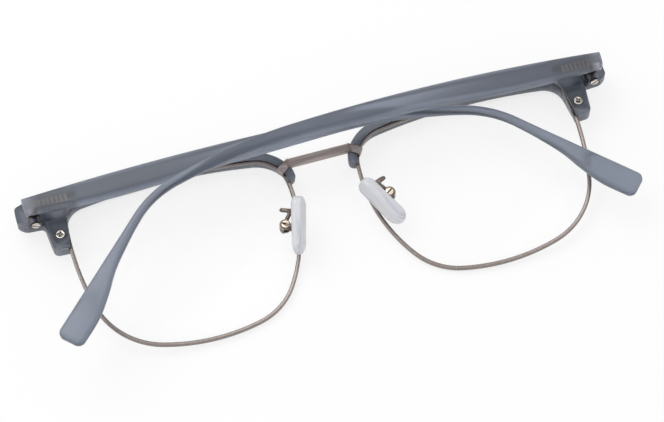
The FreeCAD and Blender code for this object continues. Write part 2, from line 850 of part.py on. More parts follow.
def make_pad_box(stagger):
    """Fork of two plates and a half-round wall, open towards the pad."""
    axis_point = pad_axis_point(stagger)
    low = axis_point - z_axis * box_half
    wall_radius = tab_radius + box_gap + box_wall
    drum = Part.makeCylinder(wall_radius, 2 * box_half, low)
    wall_side = block((-far, 0), (-far, far), (0, 2 * box_half))
    wall_side = placed(wall_side, Placement(low, Rotation(z_axis, 180 + pad_bearing)))
    body = drum.common(wall_side).fuse(Part.makeCylinder(box_radius, 2 * box_half, low))
    gap = tab_thickness + 2 * tab_fit
    gap_low = axis_point - z_axis * (gap / 2)
    room = Part.makeCylinder(tab_radius + box_gap, gap, gap_low)
    mouth = block((0, far), (-far, far), (0, gap))
    mouth = placed(mouth, Placement(gap_low, Rotation(z_axis, 180 + pad_bearing)))
    hole = Part.makeCylinder(pad_screw_shank / 2 + thread_fit, 2 * box_half, low)
    return body.cut(room).cut(mouth).cut(hole).removeSplitter()


def make_pad_screw(stagger):
    """Slotted screw through the fork and the tab."""
    axis_point = pad_axis_point(stagger)
    low = axis_point - z_axis * box_half
    floor = axis_point + z_axis * box_half
    top = floor + z_axis * pad_screw_head_height
    head = rod(pad_screw_head / 2, floor, top)
    head = round_edges(head, slot_depth, lambda edge: middle_of(edge).z > top.z - 1e-3)
    return head.fuse(rod(pad_screw_shank / 2, low, floor)).cut(slot_recess(top, z_axis, 2 * pad_screw_head))


def bent_wire(points, bend, radius):
    """Round wire along straight runs joined by arcs of one bend radius."""
    edges = []
    start = points[0]
    for before, corner, after in zip(points, points[1:], points[2:]):
        back = unit(before - corner)
        ahead = unit(after - corner)
        half_angle = back.getAngle(ahead) / 2
        reach = bend / math.tan(half_angle)
        centre = corner + unit(back + ahead) * (bend / math.sin(half_angle))
        edges.append(Part.LineSegment(start, corner + back * reach).toShape())
        edges.append(tangent_arc(centre, bend, corner + back * reach, corner + ahead * reach))
        start = corner + ahead * reach
    edges.append(Part.LineSegment(start, points[-1]).toShape())
    section = Part.Wire(Part.Circle(points[0], points[1] - points[0], radius).toShape())
    return Part.Wire(edges).makePipeShell([section], True, False)


def make_pad_arm(stagger):
    """Wire from the back of the rim, out and round in a U, down to the fork."""
    centre, radius = lens_sides()[0]
    root_y = lens_height / 2 - arm_root_drop + stagger
    root_x = centre.x - math.sqrt(radius**2 - (root_y - centre.y)**2)
    root = lens_point(root_x + arm_shift, root_y)
    hook_y = lens_top - arm_hook_drop + stagger
    hook_x = nasal_x + arm_hook_in
    end_turn = math.radians(arm_end_turn)
    wall_radius = tab_radius + box_gap + box_wall
    axis_point = pad_axis_point(stagger)
    path = [
        root,
        Vector(root.x + arm_shift, root.y, arm_hook_height),
        Vector(hook_x, hook_y, arm_hook_height),
        Vector(hook_x, hook_y - arm_turn_drop, arm_hook_height + arm_turn_height),
        Vector(nasal_x + arm_knee_in, lens_top - arm_knee_drop + stagger, arm_knee_height),
        axis_point + Vector(math.cos(end_turn), math.sin(end_turn), 0) * (tab_radius + box_gap),
    ]
    wire = bent_wire(path, arm_bend, arm_diameter / 2)
    seat = placed(lens_layer(rim_half, rim_depth / 2), front_place)
    drum = Part.makeCylinder(wall_radius, 2 * box_half, axis_point - z_axis * box_half)
    return wire.cut(seat).cut(drum)


def side_pieces(stagger, rock, tilt):
    """All pieces of the right side, for one set of rest angles."""
    brow = brow_blank().cut(rim_envelope()).cut(block_pocket())
    brow = brow.cut(brow_screw_space(thread_fit, head_fit)).cut(hinge_anchor())
    return {
        "rim": make_rim(),
        "lens": make_lens(),
        "brow": brow.cut(strap_space(bridge_fit)),
        "closing_block": make_closing_block(),
        "closing_screw": make_closing_screw(),
        "brow_screw": make_brow_screw(),
        "front_hinge": make_front_hinge(),
        "hinge_screw": make_hinge_screw(),
        "temple": folded(make_temple(), tilt),
        "temple_hinge": folded(make_temple_hinge(), tilt),
        "pad_arm": make_pad_arm(stagger),
        "pad_box": make_pad_box(stagger),
        "pad_screw": make_pad_screw(stagger),
        "pad_insert": rocked(make_pad_insert(stagger), stagger, rock),
        "nose_pad": rocked(make_nose_pad(stagger), stagger, rock),
    }


parts = {"bridge": make_bridge()}
for name, shape in side_pieces(pad_stagger, pad_rock, fold_tilt).items():
    parts["right_" + name] = shape
for name, shape in side_pieces(-pad_stagger, -pad_rock, -fold_tilt).items():
    parts["left_" + name] = mirrored(shape)

os.makedirs("parts", exist_ok=True)
for name, shape in parts.items():
    shape.exportStep("parts/" + name + ".step")
    box = shape.optimalBoundingBox(False, False)
    limits = (box.XMin, box.XMax, box.YMin, box.YMax, box.ZMin, box.ZMax)
    print(name, shape.isValid(), len(shape.Solids), round(shape.Volume, 2), [round(v, 2) for v in limits])
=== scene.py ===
"""Browline glasses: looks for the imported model, laid out as an add-on and run as a script."""
import json
import math
from types import SimpleNamespace

import bmesh
import bpy
import numpy as np
from bpy.props import FloatProperty, FloatVectorProperty, PointerProperty
from mathutils import Matrix, Vector

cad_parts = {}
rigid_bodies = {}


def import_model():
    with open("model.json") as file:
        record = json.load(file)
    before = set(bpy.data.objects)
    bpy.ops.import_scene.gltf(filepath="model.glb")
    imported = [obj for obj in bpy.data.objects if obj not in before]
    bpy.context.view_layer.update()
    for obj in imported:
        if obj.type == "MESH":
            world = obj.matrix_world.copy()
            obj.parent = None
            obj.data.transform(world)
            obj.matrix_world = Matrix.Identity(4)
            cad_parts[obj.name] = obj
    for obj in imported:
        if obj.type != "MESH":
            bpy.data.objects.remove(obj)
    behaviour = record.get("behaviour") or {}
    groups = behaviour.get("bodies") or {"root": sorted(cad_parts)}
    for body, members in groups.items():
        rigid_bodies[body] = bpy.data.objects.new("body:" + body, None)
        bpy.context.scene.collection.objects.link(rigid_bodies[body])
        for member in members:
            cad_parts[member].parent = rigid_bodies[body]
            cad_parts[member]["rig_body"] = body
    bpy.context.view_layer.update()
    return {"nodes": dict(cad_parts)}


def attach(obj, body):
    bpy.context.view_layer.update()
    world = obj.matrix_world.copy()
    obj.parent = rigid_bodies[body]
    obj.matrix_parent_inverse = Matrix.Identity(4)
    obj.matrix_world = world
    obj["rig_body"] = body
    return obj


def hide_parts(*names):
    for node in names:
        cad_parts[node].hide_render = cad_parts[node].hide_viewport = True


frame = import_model()

bl_info = {
    "name": "Browline Glasses",
    "version": (1, 0, 0),
    "blender": (4, 5, 0),
    "location": "3D View > Sidebar > Glasses",
    "description": "Dresses the packed model of folded browline glasses",
    "category": "Object",
}

MM = 0.001
SIDES = (("right", 1), ("left", -1))


# Sizes and colours that a user would change


def a_length(name, description, size):
    """Property for a length, given in mm."""
    return FloatProperty(name=name, description=description, default=size * MM, unit="LENGTH")


def an_angle(name, description, degrees):
    """Property for an angle, given in degrees."""
    return FloatProperty(name=name, description=description, default=math.radians(degrees), unit="ROTATION")


def a_colour(name, description, value):
    """Property for a colour, given as linear values."""
    return FloatVectorProperty(name=name, description=description, default=value, subtype="COLOR")


def in_mm(group):
    """A group's values as plain numbers, with its lengths in mm."""
    kinds = group.bl_rna.properties
    return SimpleNamespace(**{label: getattr(group, label) / (MM if kinds[label].unit == "LENGTH" else 1)
                              for label in type(group).__annotations__})


class GlassesFrontSizes(bpy.types.PropertyGroup):
    """Outline and lie of the lenses, which the rims follow."""

    lens_width: a_length("Lens width", "On the middle of the rim", 51.75)
    lens_height: a_length("Lens height", "On the middle of the rim", 41.3)
    lens_gap: a_length("Gap", "Between the two rims", 16.4)
    lens_drop: a_length("Drop", "Middle of the lenses below the origin", 1.25)
    lens_radius: a_length("Curve", "Radius of the lens's middle surface", 180.0)
    lens_thickness: a_length("Thickness", "Of the lens", 1.2)
    lean: an_angle("Lean", "Of each lens about X", 3.3)
    wrap: an_angle("Wrap", "Of each lens about Y", 2.5)
    rim_width: a_length("Rim width", "Of the rim wire in plan", 0.9)
    rim_depth: a_length("Rim depth", "Of the rim wire", 1.15)


class GlassesTempleSizes(bpy.types.PropertyGroup):
    """Line, height and thickness of the temples."""

    length: a_length("Length", "Along the top edge", 147.5)
    thickness: a_length("Thickness", "At the hinge", 3.0)
    tip_thickness: a_length("Tip thickness", "At the tip", 2.3)
    tip_height: a_length("Tip height", "Of the flared tip", 6.2)
    edge_radius: a_length("Edge radius", "Of the long edges", 1.05)
    fold_tilt: an_angle("Fold tilt", "Tilt of each folded temple", 1.5)


class GlassesPadSizes(bpy.types.PropertyGroup):
    """Form of the soft nose pads."""

    length: a_length("Length", "Of a pad", 13.2)
    lower_radius: a_length("Lower radius", "Of the lower end", 2.5)
    upper_radius: a_length("Upper radius", "Of the upper end", 2.05)
    face_rise: a_length("Face rise", "Of the crowned face over the pad's middle", 1.9)


class GlassesColours(bpy.types.PropertyGroup):
    """Colours of the finishes, as linear values."""

    temple: a_colour("Temples", "Frosted grey of the temples", (0.25, 0.285, 0.355))
    # Painted shade on the temples' lower edge
    temple_under: a_colour("Temples, underside", "Deeper grey of the temples' lower edge", (0.13, 0.15, 0.19))
    temple_pale: a_colour("Temples, pale", "Clouds in the temples", (0.285, 0.32, 0.39))
    brow: a_colour("Brows", "Deeper grey of the thick brows", (0.122, 0.138, 0.18))
    brow_pale: a_colour("Brows, pale", "Clouds in the brows", (0.155, 0.173, 0.218))
    # Painted highlight on the plastic's edges, laid by the edge mask
    plastic_edge: a_colour("Plastic edges", "Light caught in the plastic's edges", (0.58, 0.6, 0.66))
    # Painted glow at the temples' hinge ends and the brows' thin ends
    plastic_glow: a_colour("Plastic, thin", "At the hinge ends and the legs' feet", (0.74, 0.79, 0.93))
    shank: a_colour("Shank", "Ribs of the shank, seen in the plastic", (0.62, 0.57, 0.54))
    gunmetal: a_colour("Gunmetal", "Bridge", (0.5, 0.43, 0.41))
    gunmetal_dark: a_colour("Gunmetal, dark", "Grain of the bridge", (0.32, 0.27, 0.255))
    rim: a_colour("Rims", "Gunmetal of the rim wire", (0.33, 0.285, 0.265))
    rim_dark: a_colour("Rims, dark", "Grain of the rim wire", (0.17, 0.145, 0.135))
    fitting: a_colour("Fittings", "Browner metal of arms and forks", (0.24, 0.195, 0.165))
    fitting_dark: a_colour("Fittings, dark", "Grain of the fittings", (0.11, 0.088, 0.074))
    # Painted shade, with some tarnish, in corners and slots of the metal
    tarnish: a_colour("Tarnish", "Dark metal in corners", (0.028, 0.024, 0.022))
    hinge_plate: a_colour("Hinge plates", "Slate metal of the barrels on the front", (0.15, 0.155, 0.18))
    # Kept dark partly as painted shade of the temples that lie over the hinges
    hinge: a_colour("Hinges", "Dark metal of the hinge leaves", (0.07, 0.06, 0.057))
    steel: a_colour("Steel", "Metal where edges are rubbed", (0.55, 0.5, 0.47))
    screw: a_colour("Screws", "Polished screw metal", (0.9, 0.84, 0.76))
    gold: a_colour("Pad screws", "Warm screw metal", (0.84, 0.71, 0.56))
    pad: a_colour("Pads", "Clear bluish silicone", (0.97, 0.973, 1.0))
    pad_line: a_colour("Pad lines", "Flow lines in the silicone", (0.73, 0.76, 0.86))


class GlassesStageSettings(bpy.types.PropertyGroup):
    """Light, floor and camera."""

    world: FloatProperty(name="Sky", description="Strength of the even light", default=0.72)
    floor_white: FloatProperty(
        name="Floor white", description="Share of plain white that the eye sees", default=0.8,
        subtype="FACTOR")
    key: FloatProperty(name="Key", description="Power of the soft key lamp", default=2.4, unit="POWER")
    focal: FloatProperty(name="Focal length", description="Of the camera", default=119.1, unit="CAMERA")
    camera_place: FloatVectorProperty(
        name="Camera", description="Place of the camera", default=(-0.06551, -0.2194, 0.4455),
        subtype="TRANSLATION")


# Node helpers

# Nodes lie in rows, in the order they are made: first place, steps and count in a row
NODE_START, NODE_STEP, NODE_ROW = (-2000, 300), (220, -350), 8


def feed(tree, value, target):
    """Link a socket to a target, or set the target's own value."""
    if isinstance(value, bpy.types.NodeSocket):
        tree.links.new(value, target)
    else:
        target.default_value = value


def feed_all(tree, inputs, **values):
    """Feed inputs by name; each takes a socket or a fixed value."""
    for name, value in values.items():
        feed(tree, value, inputs[name.replace("_", " ")])


def add_node(tree, kind, *numbered, **values):
    """One node; its fields and inputs are set by name, or its inputs in turn."""
    row, column = divmod(len(tree.nodes), NODE_ROW)
    node = tree.nodes.new(kind)
    node.location = (NODE_START[0] + NODE_STEP[0] * column, NODE_START[1] + NODE_STEP[1] * row)
    for name, value in values.items():
        if hasattr(node, name):
            setattr(node, name, value)
        else:
            feed_all(tree, node.inputs, **{name: value})
    for socket, value in zip(node.inputs, numbered):
        feed(tree, value, socket)
    return node


def math_node(tree, operation, *values, clamp=False):
    """One sum of up to three values; each is a socket or a number."""
    return add_node(tree, "ShaderNodeMath", *values, operation=operation, use_clamp=clamp).outputs["Value"]


def spread(tree, value, low, high, **values):
    """A value carried from low and high to 0 and 1, evenly unless values say otherwise."""
    return add_node(tree, "ShaderNodeMapRange", Value=value, From_Min=low, From_Max=high,
                    **values).outputs["Result"]


def soft_step(tree, value, low, high):
    """Smooth step of a value: 0 at low, 1 at high."""
    return spread(tree, value, low, high, interpolation_type="SMOOTHSTEP")


def noise(tree, vector, scale, detail, roughness):
    """Value of a noise over a vector socket."""
    return add_node(tree, "ShaderNodeTexNoise", Vector=vector, Scale=scale, Detail=detail,
                    Roughness=roughness).outputs["Fac"]


def stored(tree, name):
    """Outputs of the node that reads what a piece stores under a name."""
    return add_node(tree, "ShaderNodeAttribute", attribute_name=name).outputs


def layer(tree, tone, *layers):
    """Lay colours over a tone, each by its mask; tone and colours are sockets or fixed colours."""
    for mask, colour in layers:
        mix = add_node(tree, "ShaderNodeMix", data_type="RGBA", Factor=mask)
        for label, source in (("A", tone), ("B", colour)):
            socket = [entry for entry in mix.inputs if entry.name == label and entry.type == "RGBA"][0]
            feed(tree, source if isinstance(source, bpy.types.NodeSocket) else (*source, 1.0), socket)
        tone = [entry for entry in mix.outputs if entry.type == "RGBA"][0]
    return tone


def bump(tree, height, strength, distance=0.00002):
    """Normal bumped by a height."""
    return add_node(tree, "ShaderNodeBump", Strength=strength, Distance=distance,
                    Height=height).outputs["Normal"]


# Shared effects

NOISE_SPAN = (0.3, 0.7)
HAZE_ROUGHENS, GRAIN_ROUGHENS = 0.16, 0.18


def new_group(name, inputs, outputs):
    """Empty shader group; inputs are names with defaults, and outputs are names of plain values."""
    group = bpy.data.node_groups.new(name, "ShaderNodeTree")
    for label, default in inputs.items():
        kind = "NodeSocketVector" if isinstance(default, tuple) else "NodeSocketFloat"
        group.interface.new_socket(label, in_out="INPUT", socket_type=kind).default_value = default
    for label in outputs:
        group.interface.new_socket(label, in_out="OUTPUT", socket_type="NodeSocketFloat")
    return group, add_node(group, "NodeGroupInput").outputs, add_node(group, "NodeGroupOutput").inputs


def frosted_group():
    """Cloudy tone, roughness and a fine height for frosted plastic, from two sizes of noise."""
    group, given, result = new_group(
        "Frosted Haze", {"Cloud Scale": 90.0, "Grit Scale": 6000.0, "Roughness": 0.4},
        ("Cloud", "Roughness", "Height"))
    place = add_node(group, "ShaderNodeTexCoord").outputs["Object"]
    cloud = noise(group, place, given["Cloud Scale"], detail=3.0, roughness=0.55)
    grit = noise(group, place, given["Grit Scale"], detail=2.0, roughness=0.6)
    rough = math_node(group, "MULTIPLY_ADD", grit, HAZE_ROUGHENS, given["Roughness"])
    feed_all(group, result, Cloud=spread(group, cloud, *NOISE_SPAN), Roughness=rough, Height=grit)
    return group


def grain_group():
    """Brushed grain: noise drawn out along one direction, as a tone, a roughness and a height."""
    group, given, result = new_group(
        "Brushed Grain", {"Stretch": (1.0, 1.0, 1.0), "Scale": 3000.0, "Roughness": 0.3},
        ("Tone", "Roughness", "Height"))
    place = add_node(group, "ShaderNodeTexCoord").outputs["Object"]
    drawn = add_node(group, "ShaderNodeVectorMath", place, given["Stretch"], operation="MULTIPLY")
    streak = noise(group, drawn.outputs["Vector"], given["Scale"], detail=4.0, roughness=0.65)
    rough = math_node(group, "MULTIPLY_ADD", streak, GRAIN_ROUGHENS, given["Roughness"])
    feed_all(group, result, Tone=spread(group, streak, *NOISE_SPAN), Roughness=rough, Height=streak)
    return group


def mask_of_rest(group, value, given, result):
    """Give out one minus a value, times the group's strength, as its mask."""
    rest = math_node(group, "SUBTRACT", 1.0, value, clamp=True)
    feed_all(group, result, Mask=math_node(group, "MULTIPLY", rest, given["Strength"], clamp=True))


def edge_wear_and_highlight_group():
    """Mask of edges, for wear on metal and a painted highlight on plastic: one minus the cosine between the
    face's normal and its rounded normal.
    """
    group, given, result = new_group("Edge Wear And Highlight", {"Width": 0.0002, "Strength": 3.0}, ("Mask",))
    rounded = add_node(group, "ShaderNodeBevel", samples=4, Radius=given["Width"])
    plain = add_node(group, "ShaderNodeNewGeometry")
    cosine = add_node(group, "ShaderNodeVectorMath", rounded.outputs["Normal"], plain.outputs["Normal"],
                      operation="DOT_PRODUCT")
    mask_of_rest(group, cosine.outputs["Value"], given, result)
    return group


def crevice_group():
    """Mask of closed-in corners: one minus the open share of the half sphere within a reach."""
    group, given, result = new_group("Crevices", {"Reach": 0.0006, "Strength": 1.4}, ("Mask",))
    around = add_node(group, "ShaderNodeAmbientOcclusion", samples=8, Distance=given["Reach"])
    mask_of_rest(group, around.outputs["AO"], given, result)
    return group


GROUP_MAKERS = {"Frosted Haze": frosted_group, "Brushed Grain": grain_group, "Edge Wear And Highlight": edge_wear_and_highlight_group,
                "Crevices": crevice_group}


def place_group(tree, name, **values):
    """Outputs of a shared group, which is made the first time it is asked for."""
    shared = bpy.data.node_groups.get(name) or GROUP_MAKERS[name]()
    return add_node(tree, "ShaderNodeGroup", node_tree=shared, **values).outputs


# Finishes

EVEN = (1.0, 1.0, 1.0)
BRIDGE_STRETCH = (0.06, 1.0, 1.0)
TEMPLE_CLEAR, BROW_CLEAR = 0.82, 0.5
GRAIN_SHADE = 0.78
LINE_SPAN = (0.33, 0.5)
# Where the plastic shows the first and last rib, from the hinge axis, and their pitch, mm
RIB_FIRST, RIB_LAST, RIB_PITCH = 0.7, 7.7, 1.0
# How far the ribs, deep in the plastic, show below the hinge axis, mm
RIB_DROP = 0.7
# Where a rib's sides, the row's ends and the ribs' tips are nothing and are whole, mm
RIB_SIDES, RIB_ENTRY, RIB_EXIT, RIB_TIPS = (0.42, 0.16), (0.2, 0.7), (8.2, 7.9), (1.05, 0.7)
# How strongly the first and the last rib show
RIB_GROWTH = (0.4, 0.85)
# Where the painted glow of the hinge end is nothing and is whole, mm, and the strength of it and of the
# painted shade on the lower edge
END_GLOW_FADE, END_GLOW_SHARE, UNDER_SHADE_SHARE = (2.2, -1.4), 0.9, 0.5


def new_material(name):
    """Material with a Principled BSDF; returns the material, its tree and the shader's inputs."""
    material = bpy.data.materials.new(name)
    material.use_nodes = True
    tree = material.node_tree
    return material, tree, tree.nodes["Principled BSDF"].inputs


def temple_masks(tree):
    """Masks of a temple: the shank's ribs, bars at an even pitch, a painted glow at its hinge end and painted
    shade on its lower edge.
    """
    parts = add_node(tree, "ShaderNodeSeparateXYZ", Vector=stored(tree, "temple_place")["Vector"]).outputs
    along, rise, down = parts["X"], parts["Y"], parts["Z"]
    from_rib = math_node(tree, "PINGPONG", math_node(tree, "SUBTRACT", along, RIB_FIRST), RIB_PITCH / 2)
    from_middle = math_node(tree, "ABSOLUTE", math_node(tree, "ADD", rise, RIB_DROP))
    ribs = soft_step(tree, from_rib, *RIB_SIDES)
    for factor in (soft_step(tree, along, *RIB_ENTRY), soft_step(tree, along, *RIB_EXIT),
                   soft_step(tree, from_middle, *RIB_TIPS),
                   spread(tree, along, RIB_FIRST, RIB_LAST, To_Min=RIB_GROWTH[0], To_Max=RIB_GROWTH[1])):
        ribs = math_node(tree, "MULTIPLY", ribs, factor)
    end = math_node(tree, "MULTIPLY", soft_step(tree, along, *END_GLOW_FADE), END_GLOW_SHARE)
    return ribs, end, math_node(tree, "MULTIPLY", down, UNDER_SHADE_SHARE)


def frosted_plastic(name, colours, tones, clear, temple=False):
    """Cloudy frosted plastic; a temple shows its ribs, a painted glow at its hinge end and painted shade on
    its lower edge, and a brow a painted glow at its thin ends.
    """
    material, tree, shader = new_material(name)
    haze = place_group(tree, "Frosted Haze", Roughness=0.3)
    edges = place_group(tree, "Edge Wear And Highlight", Width=0.0003, Strength=1.2)
    # The edge mask lays a painted highlight on the plastic's edges
    tone = layer(tree, tones[0], (haze["Cloud"], tones[1]), (edges["Mask"], colours.plastic_edge))
    if temple:
        ribs, end, below = temple_masks(tree)
        # Painted shade on the lower edge, painted glow at the hinge end, and the shank's ribs seen in the
        # plastic
        tone = layer(tree, tone, (below, colours.temple_under), (end, colours.plastic_glow),
                     (ribs, colours.shank))
    else:
        # Painted glow at the brows' thin ends
        tone = layer(tree, tone, (stored(tree, "thin")["Fac"], colours.plastic_glow))
    feed_all(tree, shader, Base_Color=tone, Roughness=haze["Roughness"], IOR=1.49, Transmission_Weight=clear,
             Normal=bump(tree, haze["Height"], strength=0.05))
    return material


def gunmetal(name, colours, tones, roughness, stretch=EVEN):
    """Brushed dark metal whose edges are rubbed brighter and whose corners are darkened by painted shade and
    tarnish.
    """
    material, tree, shader = new_material(name)
    grain = place_group(tree, "Brushed Grain", Stretch=stretch, Roughness=roughness)
    worn, deep = place_group(tree, "Edge Wear And Highlight"), place_group(tree, "Crevices")
    # The Crevices mask lays painted shade, with some tarnish, in the corners
    tone = layer(tree, tones[0], (grain["Tone"], tones[1]), (worn["Mask"], colours.steel),
                 (deep["Mask"], colours.tarnish))
    feed_all(tree, shader, Base_Color=tone, Metallic=1.0, Roughness=grain["Roughness"],
             Normal=bump(tree, grain["Height"], strength=0.15))
    return material


def smooth_metal(name, colour, tarnish, roughness, moulded=None):
    """Smooth metal with a trace of grain, with painted shade and tarnish in its slots and corners; a part
    moulded in may be bright.
    """
    material, tree, shader = new_material(name)
    grain = place_group(tree, "Brushed Grain", Stretch=EVEN, Scale=5000.0, Roughness=roughness)
    deep = place_group(tree, "Crevices", Reach=0.001, Strength=2.2)
    tone = layer(tree, [channel * GRAIN_SHADE for channel in colour], (grain["Tone"], colour))
    if moulded is not None:
        tone = layer(tree, tone, (stored(tree, "moulded_in")["Fac"], moulded))
    # Painted shade, with some tarnish, in slots and corners
    tone = layer(tree, tone, (deep["Mask"], tarnish))
    feed_all(tree, shader, Base_Color=tone, Metallic=1.0, Roughness=grain["Roughness"])
    return material


def clear_lens():
    """Clear resin that barely shows: thin glass, mostly let through."""
    material, tree, shader = new_material("clear lens resin")
    haze = place_group(tree, "Frosted Haze", Roughness=0.0)
    soft = math_node(tree, "MULTIPLY", haze["Roughness"], 0.2)
    feed_all(tree, shader, Base_Color=(0.985, 0.99, 0.99, 1.0), Roughness=soft, IOR=1.5,
             Transmission_Weight=1.0, Alpha=0.06)
    return material


def pad_core(colours):
    """Clear core of a pad, with a dark metal tab where it sits in the fork."""
    material, tree, shader = new_material("pad core")
    near = stored(tree, "in_fork")["Fac"]
    grain = place_group(tree, "Brushed Grain", Stretch=EVEN, Roughness=0.25)
    tab = layer(tree, colours.fitting_dark, (grain["Tone"], colours.fitting))
    feed_all(tree, shader, Base_Color=layer(tree, colours.pad, (near, tab)), Metallic=near,
             Roughness=grain["Roughness"])
    return material


def pad_silicone(colours):
    """Clear bluish silicone with flow lines along the pad."""
    material, tree, shader = new_material("clear pad silicone")
    lines = noise(tree, stored(tree, "pad_lines")["Vector"], 1.0, detail=3.0, roughness=0.55)
    tone = layer(tree, colours.pad_line, (spread(tree, lines, *LINE_SPAN), colours.pad))
    feed_all(tree, shader, Base_Color=tone, Roughness=0.2, IOR=1.41, Transmission_Weight=0.45,
             Normal=bump(tree, lines, strength=0.4, distance=0.0002))
    return material


# Surfaces

# Distance within which points merge, m, and angles from which an edge stays sharp, degrees
MERGE, METAL_SHARP, BROW_SHARP = 1e-6, 30, 35


def mirrored(points, side):
    """Points of a right-hand piece as they lie on a side."""
    return points * np.array([side, 1, 1])


def turned(angle, axis):
    """Matrix that turns by an angle about an axis."""
    return np.array(Matrix.Rotation(angle, 3, axis))


def smooth_share(values, start, end):
    """Smooth step, 3 t squared minus 2 t cubed: 0 at start, 1 at end."""
    share = np.clip((values - start) / (end - start), 0.0, 1.0)
    return share * share * (3 - 2 * share)


def shade_smooth(mesh):
    """Shade every face smooth."""
    mesh.polygons.foreach_set("use_smooth", np.ones(len(mesh.polygons), dtype=bool))


def new_object(name, data):
    """Object for some data, linked to the scene."""
    made = bpy.data.objects.new(name, data)
    bpy.context.scene.collection.objects.link(made)
    return made


def add_piece(name, mesh, node, material):
    """Object for a mesh with one material, in place of a node and on its body."""
    mesh.materials.append(material)
    mesh.polygons.foreach_set("material_index", np.zeros(len(mesh.polygons), dtype=np.int32))
    mesh.update()
    piece = new_object(name, mesh)
    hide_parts(node)
    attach(piece, frame["nodes"][node]["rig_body"])
    return piece


def smooth_copy(node, name, sharp, material):
    """Copy of a node's mesh, its loose triangles merged and its edges under the sharp angle shaded smooth."""
    merged = bmesh.new()
    merged.from_mesh(frame["nodes"][node].data)
    bmesh.ops.remove_doubles(merged, verts=merged.verts, dist=MERGE)
    mesh = bpy.data.meshes.new(name)
    merged.to_mesh(mesh)
    merged.free()
    shade_smooth(mesh)
    mesh.set_sharp_from_angle(angle=math.radians(sharp))
    return add_piece(name, mesh, node, material)


def ring_faces(rings, around, closed):
    """Quads between neighbouring rings of equal count; an open run gets a fan at each end."""
    row = np.arange(rings if closed else rings - 1)[:, None] * around
    after = (row + around) % (rings * around)
    turn = np.arange(around)
    step = (turn + 1) % around
    faces = np.stack([row + turn, row + step, after + step, after + turn], axis=-1).reshape(-1, 4).tolist()
    if not closed:
        first, last = rings * around, rings * around + 1
        base = (rings - 1) * around
        faces += np.stack([step, turn, np.full(around, first)], axis=-1).tolist()
        faces += np.stack([base + turn, base + step, np.full(around, last)], axis=-1).tolist()
    return faces


def with_caps(rings):
    """Ring points with the middle of the first and last ring added for the end fans."""
    ends = np.stack([rings[0].mean(axis=0), rings[-1].mean(axis=0)])
    return np.concatenate([rings.reshape(-1, 3), ends])


def outward(points, faces):
    """Faces turned round if the signed volume of the surface is negative."""
    triangles = [(face[0], face[turn - 1], face[turn]) for face in faces for turn in range(2, len(face))]
    volume = np.linalg.det(points[np.array(triangles)]).sum()
    return faces if volume > 0 else [face[::-1] for face in faces]


def ring_piece(name, rings, node, material, closed=False):
    """Piece from rings of points in mm, closed into a loop or capped at its ends."""
    points = rings.reshape(-1, 3) if closed else with_caps(rings)
    mesh = bpy.data.meshes.new(name)
    mesh.from_pydata((points * MM).tolist(), [], outward(points, ring_faces(*rings.shape[:2], closed)))
    shade_smooth(mesh)
    return add_piece(name, mesh, node, material)


def rounded_section(steps):
    """Corner angles of a rounded rectangle: for each corner, its signs and the arc's cosine and sine."""
    turn = np.linspace(0.0, math.pi / 2, steps)
    angles = np.concatenate([turn + quarter * math.pi / 2 for quarter in range(4)])
    signs = np.repeat(np.array([(1, 1), (-1, 1), (-1, -1), (1, -1)]), steps, axis=0)
    return signs, np.cos(angles), np.sin(angles)


def store(piece, name, values):
    """Store one value or one vector per point, which the piece's material reads."""
    kind, field = ("FLOAT_VECTOR", "vector") if values.ndim == 2 else ("FLOAT", "value")
    attribute = piece.data.attributes.new(name, kind, "POINT")
    attribute.data.foreach_set(field, values.astype(np.float32).ravel())


def piece_points(piece):
    """Points of a piece's mesh, in mm."""
    points = np.empty(3 * len(piece.data.vertices), dtype=np.float32)
    piece.data.vertices.foreach_get("co", points)
    return points.reshape(-1, 3).astype(float) / MM


# Lenses and rims

# Sides of the outline, nasal, top, temporal and bottom: axis and way it faces, radius, and how far its apex
# lies from the lens's middle, mm
LENS_SIDES = ((0, -1, 39.0, 8.1), (1, 1, 140.0, 3.0), (0, 1, 65.0, 9.0), (1, -1, 47.0, 0.0))
# Radii of the corners, mm, and the way each lies: top nasal, top temporal, bottom temporal, bottom nasal
CORNER_RADII = (8.5, 3.8, 17.0, 15.0)
CORNER_SIGNS = ((-1, 1), (1, 1), (1, -1), (-1, -1))
# Points on each arc of the outline: for a rim, a lens, and to measure a brow from
RIM_POINTS, LENS_POINTS, BROW_POINTS = 40, 24, 60
# Radius of the rim wire's edges, mm, and steps of each
RIM_EDGE, RIM_EDGE_STEPS = 0.3, 6
# How far the rim dips where the brow's leg covers it, and where that starts and is full, mm
LEG_DIP, LEG_DIP_SIDE, LEG_DIP_RISE = 0.8, (50.0, 55.0), (6.9, 8.4)
# Lens edge: where its bevel starts and ends inside the middle of the rim, and its half thickness there, mm
BEVEL_START, BEVEL_END, BEVEL_HALF = 0.75, 0.3, 0.35
# Rings of the lens, as shares of its outline
LENS_SHARES = np.linspace(0.04, 1.0, 16)


def circles_meet(centre_a, radius_a, centre_b, radius_b, near):
    """Crossing of two circles, by the chord's foot and half length, on the side of near."""
    across = centre_b - centre_a
    reach = np.hypot(*across)
    along = (radius_a**2 - radius_b**2 + reach**2) / (2 * reach)
    height = math.sqrt(radius_a**2 - along**2)
    foot = centre_a + across / reach * along
    normal = np.array([-across[1], across[0]]) / reach * height
    return min((foot + normal, foot - normal), key=lambda point: np.hypot(*(point - near)))


